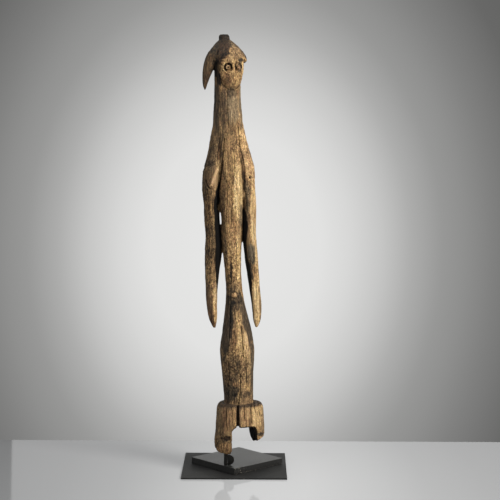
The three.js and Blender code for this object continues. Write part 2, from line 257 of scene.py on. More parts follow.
def wood_material():
    material, tree, shader = new_material("carved_wood")

    def centred(source, share):
        return mathed(tree, "MULTIPLY", mathed(tree, "SUBTRACT", source, 0.5), share)

    streak = noise(tree, (260, 260, 20), 5, 0.65, 0.3)
    fleck = noise(tree, (300, 300, 190), 3, 0.75, 0.8)
    spot = noise(tree, (210, 210, 130), 2, 0.6, 0.4)
    fine = noise(tree, (1300, 1300, 90), 3, 0.6)
    cloud = noise(tree, (30, 30, 14), 3, 0.55)
    worn = attribute(tree, "worn")
    crack_and_shade = attribute(tree, "crack_and_shade")
    tone = mathed(tree, "ADD", attribute(tree, "tone"), centred(streak, 1.0))
    tone = mathed(tree, "ADD", tone, centred(fine, 0.4))
    tone = mathed(tree, "ADD", tone, centred(cloud, 0.35), clamp=True)
    colour = ramp(tree, tone, [
        (0.0, rgb(16, 14, 10)),
        (0.14, rgb(40, 33, 24)),
        (0.32, rgb(84, 68, 48)),
        (0.5, rgb(130, 103, 69)),
        (0.7, rgb(176, 143, 97)),
        (0.86, rgb(206, 174, 120)),
        (1.0, rgb(230, 204, 154)),
    ])
    red = mathed(tree, "ADD", attribute(tree, "red"), centred(spot, 3.0))
    red = mathed(tree, "MULTIPLY", red, 0.8, clamp=True)
    colour = mixed(tree, red, colour, ramp(tree, tone, [
        (0.0, rgb(24, 15, 12)), (0.35, rgb(90, 60, 43)), (0.7, rgb(178, 130, 95)), (1.0, rgb(232, 192, 156))]))
    grey = mathed(tree, "MULTIPLY", attribute(tree, "grey"), 0.85, clamp=True)
    colour = mixed(tree, grey, colour, ramp(tree, tone, [
        (0.0, rgb(18, 16, 14)), (0.32, rgb(74, 66, 55)), (0.7, rgb(156, 141, 115)), (1.0, rgb(214, 202, 176))]))
    flaked = ramp(tree, fleck, [
        (0.38, (0.16, 0.14, 0.12)), (0.44, (0.45, 0.40, 0.36)), (0.49, (0.90, 0.87, 0.83)),
        (0.54, (1.12, 1.12, 1.06)), (0.62, (1.9, 1.9, 1.7))])
    colour = mixed(tree, worn, colour, mixed(tree, 1.0, colour, flaked, "MULTIPLY"))
    # Near black along the cracks and in the painted shade of hollows, recesses and shaded sides.
    colour = mixed(tree, crack_and_shade, colour, rgb(13, 10, 7))
    tree.links.new(colour, shader.inputs["Base Color"])
    shine = mathed(tree, "ADD", mathed(tree, "MULTIPLY", tone, 0.2), 0.58)
    shine = mathed(tree, "ADD", shine, mathed(tree, "MULTIPLY", crack_and_shade, 0.4))
    shine = mathed(tree, "ADD", shine, centred(fleck, 0.4), clamp=True)
    tree.links.new(shine, shader.inputs["Roughness"])
    shader.inputs["Specular IOR Level"].default_value = 0.22
    height = mathed(tree, "ADD", mathed(tree, "MULTIPLY", streak, 0.9), mathed(tree, "MULTIPLY", fleck, 1.2))
    height = mathed(tree, "ADD", height, mathed(tree, "MULTIPLY", fine, 0.25))
    bump(tree, shader, height, 0.0028, 0.9)
    return material


def steel_material(name, low, high, rough_low, rough_high, metal, speck=0.0):
    """Black steel. Its sides, as the mesh attribute marks them with 1, are rough and speckled, and darker: scale
    left by the cutting flame, with painted shade.
    """
    material, tree, shader = new_material(name)
    cloud = noise(tree, (14, 14, 14), 5, 0.6, 0.4)
    scratch = noise(tree, (60, 900, 60), 3, 0.6)
    grit = noise(tree, (700, 700, 700), 3, 0.6)
    spots = noise(tree, (260, 260, 260), 2, 0.5)
    cut_and_shaded_side = attribute(tree, "cut_and_shaded_side")
    share = mathed(tree, "ADD", mathed(tree, "MULTIPLY", cloud, 0.7), mathed(tree, "MULTIPLY", scratch, 0.3))
    colour = ramp(tree, share, [(0.32, low), (0.68, high)])
    # Darker sides: dark scale from the cutting flame, and painted shade.
    colour = mixed(tree, cut_and_shaded_side, colour, ramp(tree, grit, [(0.35, rgb(8, 8, 7)), (0.65, rgb(34, 33, 30))]))
    mark = mathed(tree, "MULTIPLY", grey_ramp(tree, spots, 0.6, 0.68), attribute(tree, "rough_edge"))
    mark = mathed(tree, "MAXIMUM", mark, grey_ramp(tree, spots, 0.735, 0.76, 0.0, speck))
    colour = mixed(tree, mark, colour, rgb(150, 142, 128))
    tree.links.new(colour, shader.inputs["Base Color"])
    dull = mathed(tree, "SUBTRACT", 1.0, mathed(tree, "MAXIMUM", cut_and_shaded_side, mark))
    tree.links.new(mathed(tree, "MULTIPLY", dull, metal), shader.inputs["Metallic"])
    gloss = mathed(tree, "ADD", mathed(tree, "MULTIPLY", cloud, 0.5), mathed(tree, "MULTIPLY", grit, 0.5))
    gloss = grey_ramp(tree, gloss, 0.3, 0.7, rough_low, rough_high)
    gloss = mathed(tree, "ADD", gloss, mathed(tree, "MULTIPLY", cut_and_shaded_side, 0.4), clamp=True)
    tree.links.new(gloss, shader.inputs["Roughness"])
    height = mathed(tree, "ADD", mathed(tree, "MULTIPLY", grit, 0.4), mathed(tree, "MULTIPLY", cloud, 0.9))
    bump(tree, shader, height, 0.0006, 0.6)
    return material


# Mesh helpers

def linked(name, mesh):
    thing = bpy.data.objects.new(name, mesh)
    bpy.context.scene.collection.objects.link(thing)
    return thing


def applied(thing, kind, **settings):
    """thing's mesh after one modifier."""
    modifier = thing.modifiers.new(kind.lower(), kind)
    for key, value in settings.items():
        setattr(modifier, key, value)
    graph = bpy.context.evaluated_depsgraph_get()
    mesh = bpy.data.meshes.new_from_object(thing.evaluated_get(graph))
    thing.modifiers.clear()
    old = thing.data
    thing.data = mesh
    bpy.data.meshes.remove(old)
    return mesh


def places_of(mesh):
    flat = np.empty(len(mesh.vertices) * 3, np.float32)
    mesh.vertices.foreach_get("co", flat)
    return flat.reshape(-1, 3).astype(float)


def normals_of(mesh):
    flat = np.empty(len(mesh.vertices) * 3, np.float32)
    mesh.vertex_normals.foreach_get("vector", flat)
    return flat.reshape(-1, 3).astype(float)


def put_places(mesh, places):
    mesh.vertices.foreach_set("co", places.astype(np.float32).ravel())
    mesh.update()


def edges_of(mesh):
    flat = np.empty(len(mesh.edges) * 2, np.int32)
    mesh.edges.foreach_get("vertices", flat)
    return flat.reshape(-1, 2)


def put_values(mesh, name, values):
    layer = mesh.attributes.new(name, "FLOAT", "POINT")
    layer.data.foreach_set("value", np.clip(values, 0, 1).astype(np.float32))


def averaged(values, edges, times, share=0.6, weight=None):
    """Values moved towards the mean of their neighbours."""
    count = np.bincount(edges.ravel(), minlength=len(values)).astype(float)
    values = values.copy()
    for _ in range(times):
        total = np.zeros_like(values)
        for axis in range(values.shape[1]):
            column = values[:, axis]
            total[:, axis] = np.bincount(edges[:, 0], column[edges[:, 1]], len(values))
            total[:, axis] += np.bincount(edges[:, 1], column[edges[:, 0]], len(values))
        step = share * (total / count[:, None] - values)
        values += step if weight is None else step * weight[:, None]
    return values


# The wooden figure

class Surface:
    """The places on the wood in millimetres, with the normals of the shape before its fine relief."""

    def __init__(self, places, normals):
        self.p = places
        self.n = normals
        self.x, self.y, self.z = places.T
        self.px, self.py = in_picture(places)
        sight = CAMERA_PLACE - places
        sight /= np.linalg.norm(sight, axis=1)[:, None]
        self.seen = smooth(-0.3, 0.1, (normals * sight).sum(axis=1))
        self.edge = layered(places, (6, 6, 17), 900, 3)

    def facing(self, azimuth):
        """Which part of the surface looks that way: 0 is the front and 90 is the viewer's right."""
        a = math.radians(azimuth)
        return smooth(0.0, 0.4, self.n[:, 0] * math.sin(a) - self.n[:, 1] * math.cos(a))

    def patch(self, px, py, rx, ry, lean=0.0, ragged=0.6):
        """1 inside an oval of the front, as the picture shows it, with a ragged edge. lean is how far it
        moves to the right for each pixel down."""
        u = (self.px - px - lean * (self.py - py)) / rx
        v = (self.py - py) / ry
        far = np.sqrt(u * u + v * v) + ragged * self.edge
        return smooth(1.2, 0.8, far) * self.seen

    def band(self, rows, ragged=1.0):
        """1 between a left and a right limit that change with height. rows are (y, left, right)."""
        heights = [row[0] for row in rows]
        left = np.interp(self.py, heights, [row[1] for row in rows]) + ragged * self.edge
        right = np.interp(self.py, heights, [row[2] for row in rows]) + ragged * self.edge
        inside = smooth(-0.5, 0.4, self.px - left) * smooth(-0.5, 0.4, right - self.px)
        ends = smooth(heights[0] - 2, heights[0] + 2, self.py + 3 * self.edge)
        ends *= smooth(heights[-1] + 2, heights[-1] - 2, self.py + 3 * self.edge)
        return inside * ends * self.seen

    def stroke(self, pixels, width, waver=0.5, seed=300):
        """1 along a line through places in the picture, 0 away from it. width is in millimetres."""
        x = self.px + waver * ripple(self.p, (9, 9, 9), seed)
        y = self.py + waver * ripple(self.p, (9, 9, 9), seed + 1)
        gap = np.full(len(x), 99.0)
        for (ax, ay), (bx, by) in zip(pixels, pixels[1:]):
            dx, dy = bx - ax, by - ay
            t = np.clip(((x - ax) * dx + (y - ay) * dy) / (dx * dx + dy * dy), 0, 1)
            gap = np.minimum(gap, np.hypot(x - ax - t * dx, y - ay - t * dy))
        return np.exp(-(gap * 2.62 / width) ** 2) * self.seen

    def line(self, points, width, azimuth, waver=1.0, seed=300):
        """1 along a line down any side, tapering at both ends. points are (across, z) in millimetres."""
        a = math.radians(azimuth)
        across = self.x * math.cos(a) + self.y * math.sin(a)
        points = sorted(points, key=lambda q: q[1])
        heights = [q[1] for q in points]
        middle = np.interp(self.z, heights, [q[0] for q in points])
        middle = middle + waver * ripple(np.c_[self.z * 0, self.z * 0, self.z], (1, 1, 9), seed)
        end = np.minimum(self.z - heights[0], heights[-1] - self.z)
        taper = smooth(0, min(18.0, 0.35 * (heights[-1] - heights[0])), end)
        gap = np.abs(across - middle)
        return np.exp(-(gap / (width * (0.35 + 0.65 * taper))) ** 2) * taper * self.facing(azimuth)

    def spot(self, px, py, radius):
        gap = np.hypot(self.px - px, self.py - py)
        return smooth(radius, radius * 0.45, gap) * self.seen


def cracks(s):
    """Drying cracks as (how deep in millimetres, 1 along each of them)."""
    made = []
    for pixels, width, depth in (
        ([(227.0, 90), (227.4, 100), (227.6, 110), (228.6, 128)], 1.0, 2.2),
        ([(223.9, 138), (223.2, 150), (221.8, 164)], 1.1, 4.0),
        ([(221.8, 164), (219.9, 178), (218.4, 190), (218.2, 209)], 2.0, 6.0),
        ([(238.6, 126), (239.2, 136), (239.8, 146), (242.2, 157), (244.1, 165), (244.6, 182)], 1.1, 4.5),
        ([(242.0, 327), (242.5, 335), (243.0, 345), (243.4, 357)], 1.2, 4.5),
        ([(239.5, 364), (240.0, 372), (240.8, 392), (239.6, 398), (238.2, 404)], 1.1, 3.0),
        ([(244.3, 405), (244.5, 414), (244.9, 421)], 1.1, 3.0),
        ([(251.0, 405), (251.3, 414), (251.8, 424)], 1.3, 3.6),
        ([(253.8, 402), (254.6, 407), (255.9, 413)], 1.0, 2.4),
        ([(257.6, 401), (258.8, 408), (260.2, 416)], 1.0, 2.2),
        ([(231.4, 407), (232.2, 414), (231.8, 423)], 1.0, 2.0),
        ([(226.6, 409), (226.2, 420), (226.8, 431)], 1.0, 2.0),
        ([(221.2, 414), (220.8, 424), (220.4, 436)], 0.9, 1.6),
        ([(230.8, 250), (231.4, 265), (231.0, 284)], 0.9, 1.6),
        ([(236.2, 240), (236.8, 255), (237.0, 268)], 0.8, 1.2),
        ([(226.6, 180), (227.2, 200), (226.0, 222)], 0.8, 1.3),
        ([(231.6, 190), (232.0, 205), (231.6, 226)], 0.8, 1.1),
        ([(229.8, 306), (230.2, 320), (229.4, 338)], 1.1, 1.6),
        ([(234.2, 150), (234.6, 165), (233.8, 180)], 0.8, 1.2),
        ([(219.6, 138), (218.4, 150), (217.4, 160)], 0.8, 1.4),
        ([(233.6, 306), (235.4, 318), (236.4, 330)], 0.8, 1.4),
        ([(228.4, 362), (229.0, 374), (228.2, 386)], 0.9, 1.6),
        ([(246.4, 360), (246.8, 372), (246.2, 384)], 0.9, 1.6),
        ([(254.4, 214), (254.0, 228), (254.6, 240)], 0.7, 1.0),
        ([(256.4, 286), (257.0, 300), (256.6, 314)], 0.7, 1.0),
    ):
        made.append((depth, s.stroke(pixels, width, 0.35, 300 + int(pixels[0][1]))))
    for azimuth, points, width, depth in (
        (100, [(-52, 120), (-54, 150), (-53, 188)], 1.2, 3.0),
        (80, [(-50, 230), (-48, 300), (-52, 372)], 1.0, 2.4),
        (100, [(-48, 560), (-46, 640), (-50, 760)], 1.0, 2.0),
        (180, [(2, 90), (-1, 130), (1, 186)], 1.4, 4.0),
        (180, [(-4, 215), (-2, 290), (-7, 388)], 1.2, 3.0),
        (180, [(6, 500), (9, 590), (4, 690)], 0.9, 2.0),
        (180, [(14, 740), (17, 830), (19, 905)], 1.1, 3.0),
        (170, [(-8, 640), (-12, 700), (-10, 752)], 0.9, 1.6),
        (190, [(28, 905), (30, 960), (31, 1040)], 0.9, 1.8),
        (270, [(58, 105), (60, 140), (59, 182)], 1.2, 3.0),
        (260, [(57, 300), (60, 352), (58, 420)], 1.0, 2.0),
        (280, [(60, 620), (58, 690), (61, 770)], 1.0, 2.4),
        (250, [(60, 860), (62, 930), (60, 1000)], 0.9, 1.8),
    ):
        made.append((depth, s.line(points, width, azimuth, 1.0, 700 + azimuth)))
    return made


def head_frame(s):
    """The places in the head's own frame: to the side and forward of its axis."""
    c, d = math.cos(HEAD_TURN), math.sin(HEAD_TURN)
    x, y = s.x - HEAD_X, s.y - AXIS_Y
    return x * c + y * d, -(y * c - x * d)


def eye_place(s, side):
    """Distance from the middle of an eye, across the way that it looks, and how far to the viewer's left."""
    aside, ahead = head_frame(s)
    a = math.radians(22) * side
    across = (aside - 15 * side) * math.cos(a) - (ahead - 43.5) * math.sin(a)
    far = np.hypot(across, s.z - EYE_Z)
    return np.where(ahead > 25, far, 99.0), across / np.maximum(far, 0.1), (s.z - EYE_Z) / np.maximum(far, 0.1)


def skirt_frame(s):
    c, d = math.cos(SKIRT_TURN), math.sin(SKIRT_TURN)
    x, y = s.x - SKIRT_X, s.y - AXIS_Y
    return x * c + y * d, s.n[:, 0] * c + s.n[:, 1] * d


def inner_faces(s):
    """1 on the faces inside the arch and inside the split above it."""
    across, nx = skirt_frame(s)
    left = (across < -22) * (nx > 0.3) * (across > -40)
    right = (across > 20) * (nx < -0.2) * (across < 45) * (s.py > 427.5)
    roof = (s.z > 116) * (s.n[:, 2] < -0.3) * (np.abs(across) < 42)
    arch = (s.z < 137) * (left | right | roof)
    middle = np.interp(s.z, [131, 190], [9.8, 9.0])
    half = np.interp(s.z, [131, 190], [3.2, 1.7])
    gap = smooth(half + 1.6, half + 0.4, np.abs(s.x - middle)) * (s.z > 128) * (s.z < 194) * (s.y < -84)
    return arch.astype(float), gap * smooth(0.35, 0.65, np.abs(s.n[:, 0]))


def calm(s):
    """Smooth dark skin that has lasted, as against flaking and weathered surface."""
    worn = np.full(len(s.z), 0.75)
    for px, py, rx, ry, level in (
        (233.0, 372, 14, 28, 1.0),
        (232.0, 266, 9.0, 26, 1.0),
        (210.0, 250, 6.0, 45, 1.0),
        (247.0, 198, 3.0, 22, 1.0),
        (230.0, 292, 9.0, 12, 1.0),
        (216.5, 110, 5.0, 30, 0.25),
        (228.5, 108, 12, 22, 0.45),
        (225.6, 326, 6.0, 24, 0.12),
        (250.0, 325, 3.5, 24, 0.35),
        (208.0, 72, 6.0, 20, 0.05),
        (222.0, 44, 8.0, 12, 0.15),
        (252.0, 250, 4.4, 6, 0.15),
        (246.5, 318, 5.0, 26, 0.2),
        (226.0, 418, 8.0, 18, 0.45),
        (250.0, 414, 12.0, 14, 0.45),
        (207.5, 177, 4.6, 8, 0.25),
        (214.5, 176, 3.0, 10, 0.1),
        (254.5, 218, 3.5, 28, 0.4),
        (256.0, 305, 4.4, 26, 0.4),
        (218.0, 240, 3.0, 40, 0.1),
        (246.5, 240, 3.0, 26, 0.1),
        (240.0, 190, 3.6, 20, 0.45),
        (209.0, 305, 3.0, 18, 0.4),
    ):
        mask = s.patch(px, py, rx, ry, 0, 0.4)
        worn = worn * (1 - mask) + level * mask
    behind = smooth(0.0, 0.5, s.n[:, 1])
    return worn * (1 - 0.35 * behind)


def relief(s, worn):
    """How far the surface moves out along its normal, and how dark its hollows are: painted shade, with the dark
    lines of its cracks.
    """
    head = smooth(1005, 1030, s.z)
    face = head * (head_frame(s)[1] > 18)
    move = 0.8 * layered(s.p, (45, 45, 110), 1, 2) - 0.25
    move += 0.55 * layered(s.p, (13, 13, 26), 15, 2)
    scoop, _ = nearest_spot(s.p, (17, 17, 44), 40)
    move += (0.9 - 0.4 * head) * (scoop - 0.5)
    grain = ripple(s.p + 3 * layered(s.p, (40, 40, 60), 12, 2)[:, None], (4.2, 4.2, 75), 60)
    valley = smooth(0.15, 0.0, np.abs(grain)) * smooth(-0.2, 0.5, layered(s.p, (25, 25, 90), 61, 2) + 0.2)
    valley *= 0.4 + 0.6 * worn
    move -= 0.6 * valley * (1 - 0.6 * head)
    move += 0.35 * layered(s.p, (4, 4, 30), 80, 2)
    # Painted shade in the valleys of the grain.
    dark = 0.22 * valley

    # Pits and flakes on the worn face, and fewer of them elsewhere
    pit, chance = nearest_spot(s.p, (6.5, 6.5, 7.5), 130)
    hole = smooth(0.55, 0.15, pit) * (chance < 0.14 + 0.4 * face) * smooth(0.2, 0.6, worn)
    move -= 1.2 * hole
    # Painted shade in the pits.
    dark = np.maximum(dark, 0.4 * hole)
    move += face * 0.8 * layered(s.p, (7, 7, 9), 140, 2)

    for depth, along in cracks(s):
        move -= depth * along
        dark = np.maximum(dark, smooth(0.25, 0.85, along))
    hole = s.spot(250.2, 177.6, 1.7)
    move -= 5 * hole
    # The pit on the shoulder is painted black: painted shade.
    dark = np.maximum(dark, hole)

    # Eyes: the frame cuts the groove, its rim stands up and its middle is pierced. Painted shade darkens one side
    # of the groove and the middle of the eye on the viewer's left, and the slot of the other eye.
    for side in (-1, 1):
        far, left, up = eye_place(s, side)
        rim = np.exp(-((far - 13.4) / 1.9) ** 2) * smooth(-0.6, 0.5, -left)
        move += (1.8 if side < 0 else 0.5) * rim
        groove = smooth(5.6, 7.4, far) * smooth(12.4, 10.6, far)
        move -= (1.2 if side < 0 else 0.4) * groove
        if side < 0:
            shade = groove * smooth(0.0, 0.6, np.maximum(-left - 0.1 * up, 0.8 * left + 0.6 * up))
        else:
            shade = 0 * groove
        dark = np.maximum(dark, 0.95 * shade)
        middle = smooth(3.7, 2.0, far)
        move -= (2.2 if side < 0 else 0.4) * middle
        dark = np.maximum(dark, middle * (0.95 if side < 0 else 0.1))
    slot = s.stroke([(236.4, 62.0), (235.5, 65.5), (236.0, 70.0)], 2.2, 0.2, 8)
    move -= 2.0 * slot
    dark = np.maximum(dark, 0.95 * smooth(0.2, 0.7, slot))
    ridge = s.stroke([(233.3, 58), (233.5, 68), (233.0, 77)], 2.6, 0.3, 9)
    move += 1.2 * ridge
    brow = s.stroke([(235.5, 58), (240.5, 57.2), (245.4, 60.2)], 3.2, 0.3, 10)
    move += 1.6 * brow
    # Painted shadow along the groove under the chin.
    chin = s.stroke([(220.0, 79), (223.0, 85.5), (228.5, 89.8), (235.5, 89.6), (240.4, 85.0)], 1.5, 0.3, 11)
    move -= 1.6 * chin
    dark = np.maximum(dark, 0.75 * chin)
    rim = s.stroke([(230.5, 39), (237.5, 44.5), (243.0, 51.0), (246.4, 57.5)], 1.4, 0.2, 12)
    dark = np.maximum(dark, 0.35 * rim)

    # Carved end of the shoulder on the viewer's left: a boss with a lip above and a notch below
    for pixels, width, out in (
        ([(203.5, 171.8), (208.0, 169.4), (213.0, 167.4), (219.0, 163.6)], 2.2, 1.6),
        ([(203.8, 168.0), (208.5, 165.6), (214.0, 163.0)], 2.4, -1.6),
        ([(217.6, 168.6), (214.8, 176.5), (211.2, 184.6)], 2.8, 2.6),
        ([(213.6, 170.5), (211.4, 176.5), (209.0, 181.5)], 1.8, -1.4),
        ([(205.8, 180.0), (207.0, 185.2), (209.6, 188.8), (213.2, 188.6)], 1.5, -3.0),
        ([(205.0, 195.4), (210.0, 194.8), (214.6, 192.0)], 1.8, -1.5),
        ([(222.3, 139), (221.3, 151), (220.4, 165)], 1.6, 1.6),
        ([(243.4, 216.0), (245.2, 220.4), (248.6, 220.8), (250.8, 217.0)], 1.8, 1.8),
    ):
        move += out * s.stroke(pixels, width, 0.25, 20)
    # Painted shade above the lip, in the notch below the boss and beside the ridges.
    for pixels, width, depth in (
        ([(205.9, 180.5), (207.0, 185.2), (209.2, 188.4)], 1.2, 1.0),
        ([(209.2, 188.4), (212.6, 188.8)], 1.0, 0.5),
        ([(213.4, 171.5), (211.2, 177.0), (209.2, 181.0)], 1.0, 0.45),
        ([(204.4, 169.6), (209.0, 167.0), (214.0, 164.6)], 1.2, 0.5),
        ([(221.4, 141), (220.4, 152), (219.4, 164)], 0.9, 0.6),
    ):
        dark = np.maximum(dark, depth * s.stroke(pixels, width, 0.25, 20))

    # The foot is gnawed away above its rounded end, and the rounded end is grooved
    gone = s.patch(226.2, 438.8, 4.6, 2.6, 0, 0.7)
    move -= 4.0 * gone
    low = smooth(102, 92, s.z) * (s.x < 20)
    furrow = np.abs(ripple(s.p, (7.5, 7.5, 60), 210))
    groove = smooth(0.24, 0.0, furrow) * low
    move -= 2.2 * groove
    # Painted shade in the grooves.
    dark = np.maximum(dark, 0.5 * groove)

    # Splintered fracture under the other stub
    broken = smooth(432.0, 435.0, s.py + 1.5 * s.edge) * (s.x > 52)
    move -= 2.4 * broken * smooth(0.2, 0.6, s.seen)
    move += broken * 2.0 * layered(s.p, (3.5, 9, 8), 220, 2)

    # Flaking crust stands a little above the bare wood
    crust = layered(s.p, (3.6, 3.6, 7.0), 240, 2)
    move -= 0.6 * worn * crust
    return move, dark, crust


